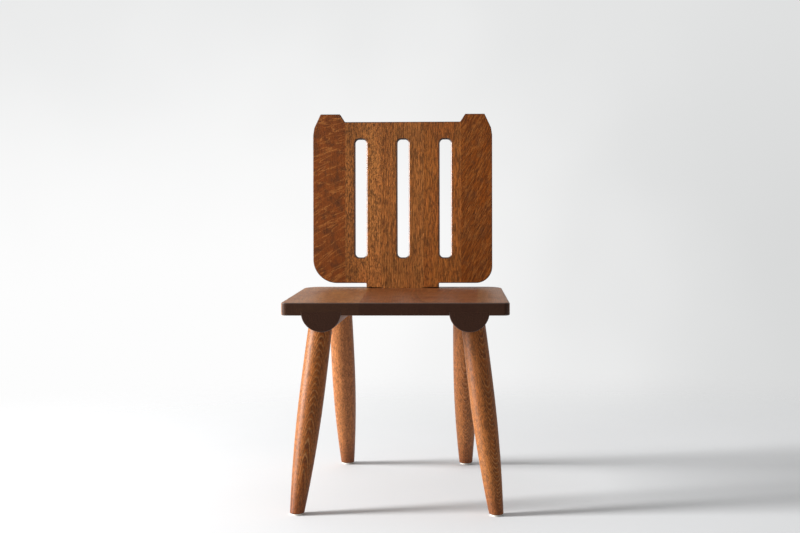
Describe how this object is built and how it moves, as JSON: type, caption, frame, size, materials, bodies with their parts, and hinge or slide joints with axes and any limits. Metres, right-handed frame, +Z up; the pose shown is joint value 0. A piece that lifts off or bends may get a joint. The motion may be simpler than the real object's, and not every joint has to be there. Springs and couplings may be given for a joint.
{
  "type": "wooden chair",
  "caption": "Oiled oak board chair with a trapezoid seat, a slotted back board with two ears, half-round battens under the seat and splayed turned legs.",
  "frame": {"origin": "on the floor, at the middle of the chair's outline in plan", "axes": "+Z up, +Y to the back, +X to the right of someone who faces the chair"},
  "size_m": [0.4758, 0.521, 0.8241],
  "materials": {
    "oak_seat": "oiled oak, satin",
    "oak_batten": "oiled oak, satin",
    "oak_leg": "turned and oiled oak, satin",
    "oak_back": "oiled oak, satin",
    "oak_back_left": "oiled quarter-sawn oak, satin",
    "oak_back_right": "oiled oak, satin",
    "oak_wedge": "oiled oak, sawn",
    "nylon_glide": "off-white nylon",
    "steel_nail": "plain steel"
  },
  "bodies": {
    "root": {"seat_stave_left": "oak_seat", "seat_stave_middle": "oak_seat", "seat_stave_right": "oak_seat", "batten_left": "oak_batten", "batten_right": "oak_batten", "leg_front_left": "oak_leg", "glide_front_left": "nylon_glide", "nail_front_left": "steel_nail", "leg_front_right": "oak_leg", "glide_front_right": "nylon_glide", "nail_front_right": "steel_nail", "leg_rear_left": "oak_leg", "glide_rear_left": "nylon_glide", "nail_rear_left": "steel_nail", "leg_rear_right": "oak_leg", "glide_rear_right": "nylon_glide", "nail_rear_right": "steel_nail", "back_stave_left_outer": "oak_back_left", "back_stave_left": "oak_back", "back_stave_middle": "oak_back", "back_stave_right": "oak_back", "back_stave_right_outer": "oak_back_right", "back_wedge": "oak_wedge"}
  },
  "joints": []
}
